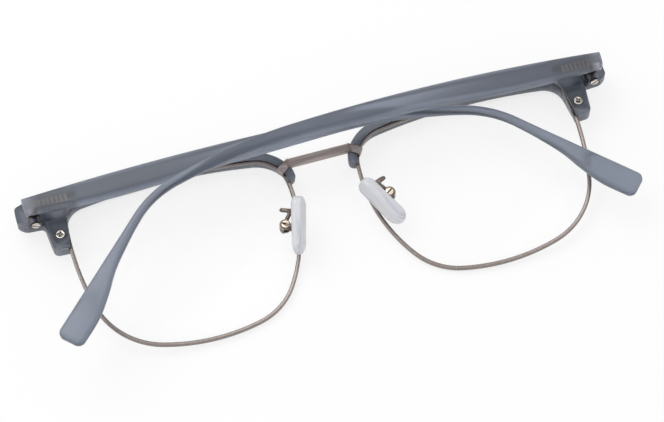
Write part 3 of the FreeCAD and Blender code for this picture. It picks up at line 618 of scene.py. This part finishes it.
def lens_outline(sizes, per_arc):
    """Points and outward normals of the lens outline: four sides and four corners, all tangent arcs."""
    half = np.array([sizes.lens_width, sizes.lens_height]) / 2
    sides, corners = [], []
    for axis, way, radius, apex in LENS_SIDES:
        centre = np.full(2, apex)
        centre[axis] = way * (half[axis] - radius)
        sides.append((centre, radius))
    for number, (radius, signs) in enumerate(zip(CORNER_RADII, CORNER_SIGNS)):
        (centre_a, radius_a), (centre_b, radius_b) = sides[number], sides[(number + 1) % 4]
        corners.append(circles_meet(centre_a, radius_a - radius, centre_b, radius_b - radius, half * signs))
    points, normals = [], []
    for number, (centre, radius) in enumerate(zip(corners, CORNER_RADII)):
        before = sides[number][0]
        after, after_radius = sides[(number + 1) % 4]
        following = corners[(number + 1) % 4]
        for middle, size, start, end in ((centre, radius, centre - before, centre - after),
                                         (after, after_radius, centre - after, following - after)):
            first, last = math.atan2(start[1], start[0]), math.atan2(end[1], end[0])
            swing = (last - first + math.pi) % (2 * math.pi) - math.pi
            turn = first + swing * np.linspace(0, 1, per_arc, endpoint=False)
            normal = np.stack([np.cos(turn), np.sin(turn)], axis=-1)
            points.append(middle + size * normal)
            normals.append(normal)
    return np.concatenate(points), np.concatenate(normals)


def lens_place(sizes):
    """Turn and shift that lay the right lens on the table by the foot of its bulge."""
    turn = turned(-sizes.wrap, "Y") @ turned(sizes.lean, "X")
    lift = sizes.lens_radius + sizes.lens_thickness / 2 - sizes.lens_radius * turn[2, 2]
    return turn, np.array([sizes.lens_gap / 2 + sizes.lens_width / 2, -sizes.lens_drop, lift])


def on_lens(sizes, plan, height):
    """Points of a plan at r squared over 2 R, the lens's middle surface, plus a height, laid in place."""
    level = (plan**2).sum(axis=-1) / (2 * sizes.lens_radius) + height
    turn, shift = lens_place(sizes)
    return np.concatenate([plan, level[..., None]], axis=-1) @ turn.T + shift


def lens_rings(sizes):
    """Clear meniscus: rings from the middle of the back out to a bevelled edge and in again over the front.

    Each ring is a share of the outline, half the thickness above or below the middle surface.
    """
    path, normal = lens_outline(sizes, LENS_POINTS)
    back = LENS_SHARES[:, None, None] * (path - normal * BEVEL_START)[None]
    edge = (path - normal * BEVEL_END)[None]
    half = np.concatenate([np.full(len(LENS_SHARES), sizes.lens_thickness / 2), [BEVEL_HALF]])
    height = np.concatenate([half, -half[::-1]])
    return on_lens(sizes, np.concatenate([back, edge, edge, back[::-1]]), height[:, None])


def rim_rings(sizes):
    """Rounded rectangle carried round the outline on the lens's middle surface; it dips under the leg."""
    path, normal = lens_outline(sizes, RIM_POINTS)
    signs, cosine, sine = rounded_section(RIM_EDGE_STEPS)
    across = signs[:, 0] * (sizes.rim_width / 2 - RIM_EDGE) + RIM_EDGE * cosine
    up = signs[:, 1] * (sizes.rim_depth / 2 - RIM_EDGE) + RIM_EDGE * sine
    rings = on_lens(sizes, path[:, None, :] + normal[:, None, :] * across[None, :, None], up[None, :])
    covered = smooth_share(rings[..., 0], *LEG_DIP_SIDE) * smooth_share(rings[..., 1], *LEG_DIP_RISE)
    rings[..., 2] -= LEG_DIP * covered
    return rings


# Brows

# Swell of the nasal band, the heights or places in mm where each change is nothing and is whole, the trim
# of each end in mm, and how much painted glow shows in the thin ends
BAND_SWELL, BAND_FADE = 0.42, (32.0, 20.0)
LOBE_FADE, LOBE_TRIM, LOBE_SHIFT, LOBE_GLOW, NOSE_LIMIT = (14.2, 10.4), 1.2, 0.5, 0.12, 20.0
LEG_FADE, LEG_TRIM, LEG_GLOW, LEG_GLOW_FADE, LEG_LIMIT = (9.6, 6.4), 1.6, 0.3, (5.9, 5.35), 50.0
ENDPIECE_REACH, ENDPIECE_FADE, ENDPIECE_TRIM = (62.6, 64.4), (16.6, 13.6), 0.9


def trim_brow(piece, sizes, side):
    """Swell the brow's nasal band and draw in the ends of its lobe, leg and endpiece.

    A point near the nose moves out along the outline's normal by a share of its distance from the outline.
    A point at an end moves up by the end's trim, which fades to nothing at the height where the end begins.
    The lobe also shifts a little away from the nose.
    """
    world = mirrored(piece_points(piece), side)
    turn, shift = lens_place(sizes)
    local = (world - shift) @ turn
    path, normal = lens_outline(sizes, BROW_POINTS)
    near = np.linalg.norm(local[:, None, :2] - path[None], axis=-1).argmin(axis=1)
    offset = ((local[:, :2] - path[near]) * normal[near]).sum(axis=-1)
    swell = BAND_SWELL * smooth_share(world[:, 0], *BAND_FADE)
    local[:, :2] += normal[near] * (np.maximum(offset, 0.0) * swell)[:, None]
    world = local @ turn.T + shift
    x, y = world[:, 0].copy(), world[:, 1].copy()
    lobe = (x < NOSE_LIMIT) * smooth_share(y, *LOBE_FADE)
    leg = (x > LEG_LIMIT) * smooth_share(y, *LEG_FADE)
    endpiece = smooth_share(x, *ENDPIECE_REACH) * smooth_share(y, *ENDPIECE_FADE)
    endpiece *= smooth_share(y, *LEG_FADE[::-1])
    world[:, 0] += LOBE_SHIFT * lobe
    world[:, 1] += LOBE_TRIM * lobe + LEG_TRIM * leg + ENDPIECE_TRIM * endpiece
    moved = (mirrored(world, side) * MM).astype(np.float32)
    piece.data.vertices.foreach_set("co", moved.ravel())
    piece.data.update()
    # Painted glow in the thin ends of the lobe and at the legs' feet, which the brow's material reads
    foot = (x > LEG_LIMIT) * smooth_share(y, *LEG_GLOW_FADE)
    store(piece, "thin", np.maximum(LOBE_GLOW * lobe, LEG_GLOW * foot))


# Temples

# Length of the arch, and length and turn of each arc of the ear bend, mm and degrees
ARCH = 73.1
EAR_ARCS = ((115.0 * math.radians(15.0), 15.0), (27.0 * math.radians(27.0), 27.0))
# Start of the top edge from the hinge axis, along and up, mm
TEMPLE_START = (-2.0, 1.75)
# Heading at the hinge and turn of the arch, degrees; the photo shows the left temple less bent
TEMPLE_BEND = {1: (5.3, 9.3), -1: (4.45, 6.2)}
# Heights along the temple: distance from its start and height there, mm
STATIONS = ((0.0, 3.8), (9.0, 5.0), (51.0, 4.8), (90.0, 2.6), (122.0, 2.3))
# Shares of the flare where its height is set
FLARE_SHARES = np.array([0.35, 0.6, 0.85])
# How much further the photo shows each tip, mm
TIP_REACH = {1: 1.4, -1: 0.2}
# Even run at the tip, and radius of the tip's corners and of the hinge end's edges, mm
TIP_RUN, TIP_CORNER, END_ROUND = 5.5, 1.7, 0.17
# Rings in the rounded start, along the temple and in the rounded tip, steps of a corner, steps of the line
START_ROWS, TEMPLE_ROWS, TIP_ROWS, EDGE_STEPS, LINE_STEPS = 7, 320, 24, 7, 6001
# Largest share of a half side that a rounded edge takes, and its least radius, mm
ROUND_SHARE, ROUND_LEAST = 0.98, 1e-3
# Middle of the right hinge axis, mm
HINGE = np.array([66.06, 15.65, 8.2])
# Height of the temple over the hinge axis, and how far under it the shank is already in the plastic, mm
TEMPLE_OFFSET, SHANK_LAP = 3.0, 0.3


def temple_line(length, side, distance):
    """Points and headings along the temple's top edge: tangent arcs, each turning evenly, then straight."""
    start_heading, arch_turn = TEMPLE_BEND[side]
    runs = [(ARCH, arch_turn), *EAR_ARCS]
    runs.append((length - sum(run for run, _ in runs), 0.0))
    fine = np.linspace(0.0, length, LINE_STEPS)
    rate = np.zeros_like(fine)
    done = 0.0
    for run, turn in runs:
        rate[(fine >= done) & (fine < done + run)] = -math.radians(turn) / run
        done += run
    step = fine[1] - fine[0]
    heading = math.radians(start_heading) + np.concatenate([[0.0], np.cumsum(rate[:-1]) * step])
    middle = (heading[:-1] + heading[1:]) / 2
    across = TEMPLE_START[0] + np.concatenate([[0.0], np.cumsum(np.cos(middle)) * step])
    up = TEMPLE_START[1] + np.concatenate([[0.0], np.cumsum(np.sin(middle)) * step])
    return tuple(np.interp(distance, fine, values) for values in (across, up, heading))


def smooth_through(places, values, wanted):
    """Cubic curve through points: Hermite spans with the slopes of the parabola through three points."""
    places, values = np.array(places), np.array(values)
    gaps = np.diff(places)
    rises = np.diff(values) / gaps
    slope = np.empty_like(values)
    slope[1:-1] = (rises[:-1] * gaps[1:] + rises[1:] * gaps[:-1]) / (gaps[:-1] + gaps[1:])
    slope[0], slope[-1] = rises[0], rises[-1]
    span = np.clip(np.searchsorted(places, wanted, side="right") - 1, 0, len(gaps) - 1)
    gap = gaps[span]
    share = (wanted - places[span]) / gap
    rest = 1 - share
    return ((1 + 2 * share) * rest**2 * values[span] + share * rest**2 * gap * slope[span]
            + share**2 * (3 - 2 * share) * values[span + 1] - share**2 * rest * gap * slope[span + 1])


def round_off(depth, radius):
    """How far a rounded end of a radius draws in at a depth past where its rounding starts."""
    within = np.clip(depth, 0.0, radius)
    return radius - np.sqrt(np.maximum(radius**2 - within**2, 0.0))


def temple_heights(sizes, length, distance):
    """Heights through the stations, then a flare by half a cosine wave to the tip."""
    neck, neck_height = STATIONS[-1]
    places = neck + (length - TIP_RUN - neck) * FLARE_SHARES
    heights = neck_height + (sizes.tip_height - neck_height) * (1 - np.cos(math.pi * FLARE_SHARES)) / 2
    stations = [*STATIONS, *zip(places, heights), (length, sizes.tip_height)]
    return smooth_through(*zip(*stations), distance)


def temple_rings(sizes, side):
    """Rounded rectangle carried along the top edge; its height follows the stations, its thickness a taper.

    Beside each point come its place along and above the hinge axis, and how much its surface faces down, for
    the painted shade on its lower edge.
    """
    edge, length = sizes.edge_radius, sizes.length + TIP_REACH[side]
    start = END_ROUND * (1 - np.cos(np.linspace(0, math.pi / 2, START_ROWS)))
    tip = length - TIP_CORNER * (1 - np.sin(np.linspace(0, math.pi / 2, TIP_ROWS)))
    middle = np.linspace(END_ROUND, length - TIP_CORNER, TEMPLE_ROWS)
    distance = np.concatenate([start[:-1], middle[:-1], tip])
    across, up, heading = temple_line(length, side, distance)
    height = temple_heights(sizes, length, distance)
    thick = sizes.thickness + (sizes.tip_thickness - sizes.thickness) * distance / length
    corner = round_off(distance - (length - TIP_CORNER), TIP_CORNER)
    nose = round_off(distance - (length - edge), edge)
    butt = round_off(END_ROUND - distance, END_ROUND)
    half_height = height / 2 - np.maximum(corner, nose) - butt
    half_thick = thick / 2 - nose - butt
    radius = np.minimum(edge, np.maximum(np.minimum(half_thick, half_height) * ROUND_SHARE, ROUND_LEAST))
    signs, cosine, sine = rounded_section(EDGE_STEPS)
    below = height[:, None] / 2 + np.outer(half_height - radius, signs[:, 0]) + np.outer(radius, cosine)
    lift = thick[:, None] / 2 + np.outer(half_thick - radius, signs[:, 1]) + np.outer(radius, sine)
    lift += TEMPLE_OFFSET
    along = across[:, None] + np.sin(heading)[:, None] * below
    rise = up[:, None] - np.cos(heading)[:, None] * below
    tilt = sizes.fold_tilt * side
    points = HINGE + np.stack([-along * math.cos(tilt) + lift * math.sin(tilt), rise,
                               along * math.sin(tilt) + lift * math.cos(tilt)], axis=-1)
    # How much the surface faces down, for the painted shade on the lower edge
    under = np.broadcast_to(np.maximum(cosine, 0.0), along.shape)
    return mirrored(points, side), np.stack([along, rise, under], axis=-1)


# Nose pads

# Place of each pad screw in plan, mm, and how far each pad is rocked at rest, degrees
PAD_SCREW = {"right": (12.39, -0.68), "left": (12.39, -2.06)}
PAD_ROCK = {"right": 9.5, "left": -9.5}
# Middle of a pad from its screw: reach in plan and height over the table, mm
PAD_REACH, PAD_HEIGHT = 2.72, 7.2
# Way the pad lies from its screw, its tilt in plan and its slant off the table, degrees
PAD_BEARING, PAD_TILT, PAD_SLANT = 31.0, 24.3, 23.6
# Share of the face's rise on the back, share lost towards the ends, and place of the crown, mm
PAD_BACK, PAD_TAPER, PAD_CROWN = 0.61, 0.5, 1.5
# Power of the crown's curve, gathering of its rings, length of its spine, angle left out at each pole
PAD_POWER, PAD_GATHER, PAD_SPINE, PAD_POLE = 3.2, 1.6, 0.96, 0.02
PAD_ROWS, PAD_AROUND = 40, 72
# Flow lines per mm across, along and through a pad
PAD_LINE_SCALE = np.array([2.4, 0.13, 1.2])
# How far from the pad screw the core shows as metal, mm
FORK_REACH = 1.9


def pad_rings(sizes):
    """Crowned pad in its own axes: rings that shrink from the tangent outline of two circles to its middle.

    At angle a from the face's pole, a ring lies 1 - (1 - sin a)**g of the way out, at height
    rise * (1 - sin(a)**n)**(1/n). The back is flatter, and both thin by a parabola towards the ends.
    """
    lower_y = sizes.lower_radius - sizes.length / 2
    upper_y = sizes.length / 2 - sizes.upper_radius
    turn = np.linspace(0, 2 * math.pi, PAD_AROUND, endpoint=False)
    # Sine of the lean of the tangent that joins the two circles
    lean = (sizes.lower_radius - sizes.upper_radius) / (upper_y - lower_y)
    on_top = np.sin(turn) > lean
    radius = np.where(on_top, sizes.upper_radius, sizes.lower_radius)
    centre_y = np.where(on_top, upper_y, lower_y)
    outline = np.stack([radius * np.cos(turn), radius * np.sin(turn) + centre_y], axis=-1)
    spine = np.stack([np.zeros(PAD_AROUND), np.clip(outline[:, 1], lower_y, upper_y) * PAD_SPINE], axis=-1)
    angle = np.linspace(PAD_POLE, math.pi - PAD_POLE, PAD_ROWS)
    share = 1 - (1 - np.sin(angle))**PAD_GATHER
    rise = np.where(np.cos(angle) > 0, 1.0, PAD_BACK) * sizes.face_rise
    height = np.sign(np.cos(angle)) * (1 - np.sin(angle)**PAD_POWER)**(1 / PAD_POWER) * rise
    plan = spine[None] + (outline - spine)[None] * share[:, None, None]
    taper = 1 - PAD_TAPER * ((plan[..., 1] - PAD_CROWN) / (sizes.length / 2 + PAD_CROWN))**2
    return np.concatenate([plan, (height[:, None] * taper)[..., None]], axis=-1)


def pad_frame(name):
    """Axes and middle of a right-hand pad before its side is mirrored: columns are across, up and face."""
    tilt, slant = math.radians(PAD_TILT), math.radians(PAD_SLANT)
    bearing = math.radians(180 + PAD_BEARING)
    up = np.array([-math.sin(tilt) * math.cos(slant), math.cos(tilt) * math.cos(slant), math.sin(slant)])
    facing = np.array([math.cos(bearing), math.sin(bearing), 0.0])
    face = facing - np.array([0, 0, facing @ up / up[2]])
    face = face / np.linalg.norm(face)
    rock = turned(math.radians(PAD_ROCK[name]), "Z")
    middle = np.array([*PAD_SCREW[name], PAD_HEIGHT]) + rock @ facing * PAD_REACH
    return rock @ np.stack([np.cross(up, face), up, face], axis=-1), middle


# Stage

# Places and sizes in m
FLOOR_REACH, FLOOR_DROP = 3.0, 0.00003
FLOOR_GREY = (0.97, 0.97, 0.97, 1.0)
WHITE = (1.0, 1.0, 1.0, 1.0)
KEY_SIZE, KEY_PLACE = (0.7, 0.5), Vector((-0.25, 0.35, 0.6))
SENSOR, CLIP = 36.0, (0.01, 20.0)
CAMERA_RIGHT, CAMERA_BACK = Vector((0.9593, -0.2823, 0.0)), Vector((-0.1298, -0.4410, 0.8881))


def seen_rays(tree):
    """1 for what the eye, a reflection or a see-through piece looks at, 0 for light on its way."""
    rays = add_node(tree, "ShaderNodeLightPath").outputs
    plain = math_node(tree, "MAXIMUM", rays["Is Camera Ray"], rays["Is Glossy Ray"])
    return math_node(tree, "MAXIMUM", plain, rays["Is Transmission Ray"])


def choose_shader(tree, share, first, second, output):
    """Join two shaders by a share to an output node."""
    choose = add_node(tree, "ShaderNodeMixShader", share, first, second)
    feed(tree, choose.outputs["Shader"], output.inputs["Surface"])


def make_floor(settings):
    """Flat white floor a hair under the lowest point of the glasses; it keeps a faint shadow."""
    corners = [(x * FLOOR_REACH, y * FLOOR_REACH, -FLOOR_DROP) for x, y in CORNER_SIGNS[::-1]]
    mesh = bpy.data.meshes.new("floor")
    mesh.from_pydata(corners, [], [(0, 1, 2, 3)])
    floor = new_object("floor", mesh)
    material, tree, shader = new_material("white floor")
    feed_all(tree, shader, Base_Color=FLOOR_GREY, Roughness=1.0, Specular_IOR_Level=0.0)
    white = add_node(tree, "ShaderNodeEmission", Color=WHITE, Strength=1.0)
    share = math_node(tree, "MULTIPLY", seen_rays(tree), settings.floor_white)
    matt = tree.nodes["Principled BSDF"].outputs["BSDF"]
    choose_shader(tree, share, matt, white.outputs["Emission"], tree.nodes["Material Output"])
    mesh.materials.append(material)


def make_world(scene, settings):
    """Even light; the camera, reflections and what is seen through the plastic show plain white."""
    scene.world = bpy.data.worlds.new("studio")
    scene.world.use_nodes = True
    tree = scene.world.node_tree
    tree.nodes.clear()
    even, plain = (add_node(tree, "ShaderNodeBackground", Color=WHITE, Strength=strength)
                   for strength in (settings.world, 1.0))
    output = add_node(tree, "ShaderNodeOutputWorld")
    choose_shader(tree, seen_rays(tree), even.outputs["Background"], plain.outputs["Background"], output)


def make_key(settings):
    """One large soft lamp above and behind the glasses."""
    lamp = bpy.data.lights.new("key", "AREA")
    lamp.shape = "RECTANGLE"
    lamp.size, lamp.size_y = KEY_SIZE
    lamp.energy = settings.key
    key = new_object("key", lamp)
    key.location = KEY_PLACE
    key.rotation_euler = (-KEY_PLACE).to_track_quat("-Z", "Y").to_euler()


def make_camera(scene, settings):
    """Camera at the photograph's angle, turned by its own right, up and back directions."""
    data = bpy.data.cameras.new("camera")
    data.sensor_width = SENSOR
    data.sensor_fit = "HORIZONTAL"
    data.lens = settings.focal
    data.clip_start, data.clip_end = CLIP
    camera = new_object("camera", data)
    back = CAMERA_BACK.normalized()
    up = back.cross(CAMERA_RIGHT).normalized()
    turn = Matrix((up.cross(back), up, back)).transposed().to_4x4()
    camera.matrix_world = Matrix.Translation(settings.camera_place) @ turn
    scene.camera = camera


# Operators


class GLASSES_OT_temples(bpy.types.Operator):
    """Sweep the two frosted temples over their hinges"""

    bl_idname = "glasses.temples"
    bl_label = "Temples"

    def execute(self, context):
        sizes = in_mm(context.scene.glasses_temples)
        colours = context.scene.glasses_colours
        material = frosted_plastic("frosted temple plastic", colours, (colours.temple, colours.temple_pale),
                                   TEMPLE_CLEAR, temple=True)
        for name, side in SIDES:
            rings, places = temple_rings(sizes, side)
            piece = ring_piece(name + "_temple_arm", rings, name + "_temple", material)
            store(piece, "temple_place", with_caps(places))
        return {"FINISHED"}


class GLASSES_OT_brows(bpy.types.Operator):
    """Shade the two brows smooth, trim them and frost them"""

    bl_idname = "glasses.brows"
    bl_label = "Brows"

    def execute(self, context):
        sizes = in_mm(context.scene.glasses_front)
        colours = context.scene.glasses_colours
        material = frosted_plastic("frosted brow plastic", colours, (colours.brow, colours.brow_pale),
                                   BROW_CLEAR)
        for name, side in SIDES:
            piece = smooth_copy(name + "_brow", name + "_brow_body", BROW_SHARP, material)
            trim_brow(piece, sizes, side)
        return {"FINISHED"}


class GLASSES_OT_rims(bpy.types.Operator):
    """Carry a rounded wire round each lens"""

    bl_idname = "glasses.rims"
    bl_label = "Rims"

    def execute(self, context):
        colours = context.scene.glasses_colours
        material = gunmetal("gunmetal rim wire", colours, (colours.rim_dark, colours.rim), roughness=0.24)
        rings = rim_rings(in_mm(context.scene.glasses_front))
        for name, side in SIDES:
            ring_piece(name + "_rim_wire", mirrored(rings, side), name + "_rim", material,
                       closed=True)
        return {"FINISHED"}


class GLASSES_OT_pads(bpy.types.Operator):
    """Crown the two clear nose pads"""

    bl_idname = "glasses.pads"
    bl_label = "Nose pads"

    def execute(self, context):
        material = pad_silicone(context.scene.glasses_colours)
        local = pad_rings(in_mm(context.scene.glasses_pads))
        for name, side in SIDES:
            axes, middle = pad_frame(name)
            rings = mirrored(local @ axes.T + middle, side)
            piece = ring_piece(name + "_nose_pad_soft", rings, name + "_nose_pad", material)
            store(piece, "pad_lines", with_caps(local) * PAD_LINE_SCALE)
        return {"FINISHED"}


class GLASSES_OT_cores(bpy.types.Operator):
    """Finish the cores of the pads, clear in the pad and metal in the fork"""

    bl_idname = "glasses.cores"
    bl_label = "Pad cores"

    def execute(self, context):
        material = pad_core(context.scene.glasses_colours)
        for name, side in SIDES:
            piece = smooth_copy(name + "_pad_insert", name + "_pad_core", METAL_SHARP, material)
            from_screw = mirrored(piece_points(piece), side)[:, :2] - np.array(PAD_SCREW[name])
            store(piece, "in_fork", np.hypot(*from_screw.T) < FORK_REACH)
        return {"FINISHED"}


class GLASSES_OT_metalwork(bpy.types.Operator):
    """Finish the bridge, hinges, arms, forks and screws"""

    bl_idname = "glasses.metalwork"
    bl_label = "Metalwork"

    def execute(self, context):
        colours = context.scene.glasses_colours
        bridge = gunmetal("brushed gunmetal bridge", colours, (colours.gunmetal_dark, colours.gunmetal),
                          roughness=0.42, stretch=BRIDGE_STRETCH)
        dark = gunmetal("brown metal fittings", colours, (colours.fitting_dark, colours.fitting),
                        roughness=0.22)
        plate = smooth_metal("grey hinge plate metal", colours.hinge_plate, colours.hinge, roughness=0.35)
        leaf = smooth_metal("hinge leaf metal", colours.hinge, colours.tarnish, roughness=0.3,
                            moulded=colours.shank)
        screw = smooth_metal("polished screw metal", colours.screw, colours.tarnish, roughness=0.12)
        gold = smooth_metal("warm pad screw metal", colours.gold, colours.tarnish, roughness=0.15)
        smooth_copy("bridge", "bridge_bar", METAL_SHARP, bridge)
        fittings = [(kind, "rim_metal", dark) for kind in ("closing_block", "pad_arm", "pad_box")]
        fittings += [("front_hinge", "hinge_metal", plate), ("temple_hinge", "hinge_metal", leaf)]
        fittings += [(kind + "_screw", "screw_metal", screw) for kind in ("closing", "brow", "hinge")]
        fittings.append(("pad_screw", "screw_metal", gold))
        for name, _ in SIDES:
            for kind, slot, material in fittings:
                node = name + "_" + kind
                piece = smooth_copy(node, node + "_metal", METAL_SHARP, material)
                if kind == "temple_hinge":
                    height = piece_points(piece)[:, 2] - HINGE[2]
                    store(piece, "moulded_in", height > TEMPLE_OFFSET - SHANK_LAP)
        return {"FINISHED"}


class GLASSES_OT_lenses(bpy.types.Operator):
    """Span the two clear lenses inside their rims"""

    bl_idname = "glasses.lenses"
    bl_label = "Lenses"

    def execute(self, context):
        material = clear_lens()
        rings = lens_rings(in_mm(context.scene.glasses_front))
        for name, side in SIDES:
            ring_piece(name + "_lens_resin", mirrored(rings, side), name + "_lens", material)
        return {"FINISHED"}


class GLASSES_OT_stage(bpy.types.Operator):
    """Floor, soft light and the camera"""

    bl_idname = "glasses.stage"
    bl_label = "Stage"

    def execute(self, context):
        settings = context.scene.glasses_stage
        make_floor(settings)
        make_world(context.scene, settings)
        make_key(settings)
        make_camera(context.scene, settings)
        context.scene.view_settings.view_transform = "Standard"
        return {"FINISHED"}


OPERATORS = (GLASSES_OT_temples, GLASSES_OT_brows, GLASSES_OT_rims, GLASSES_OT_pads, GLASSES_OT_cores,
             GLASSES_OT_metalwork, GLASSES_OT_lenses, GLASSES_OT_stage)
SETTINGS = (
    ("glasses_front", GlassesFrontSizes),
    ("glasses_temples", GlassesTempleSizes),
    ("glasses_pads", GlassesPadSizes),
    ("glasses_colours", GlassesColours),
    ("glasses_stage", GlassesStageSettings),
)


class GLASSES_PT_panel(bpy.types.Panel):
    """Lists the pieces in the sidebar"""

    bl_idname = "GLASSES_PT_panel"
    bl_label = "Browline Glasses"
    bl_space_type = "VIEW_3D"
    bl_region_type = "UI"
    bl_category = "Glasses"

    def draw(self, context):
        for operator in OPERATORS:
            self.layout.operator(operator.bl_idname)


def register():
    for label, group in SETTINGS:
        bpy.utils.register_class(group)
        setattr(bpy.types.Scene, label, PointerProperty(type=group))
    for operator in OPERATORS:
        bpy.utils.register_class(operator)
    bpy.utils.register_class(GLASSES_PT_panel)


def unregister():
    bpy.utils.unregister_class(GLASSES_PT_panel)
    for operator in reversed(OPERATORS):
        bpy.utils.unregister_class(operator)
    for label, group in reversed(SETTINGS):
        delattr(bpy.types.Scene, label)
        bpy.utils.unregister_class(group)


def main():
    register()
    bpy.ops.glasses.temples()
    bpy.ops.glasses.brows()
    bpy.ops.glasses.rims()
    bpy.ops.glasses.pads()
    bpy.ops.glasses.cores()
    bpy.ops.glasses.metalwork()
    bpy.ops.glasses.lenses()
    bpy.ops.glasses.stage()


if __name__ == "__main__":
    main()
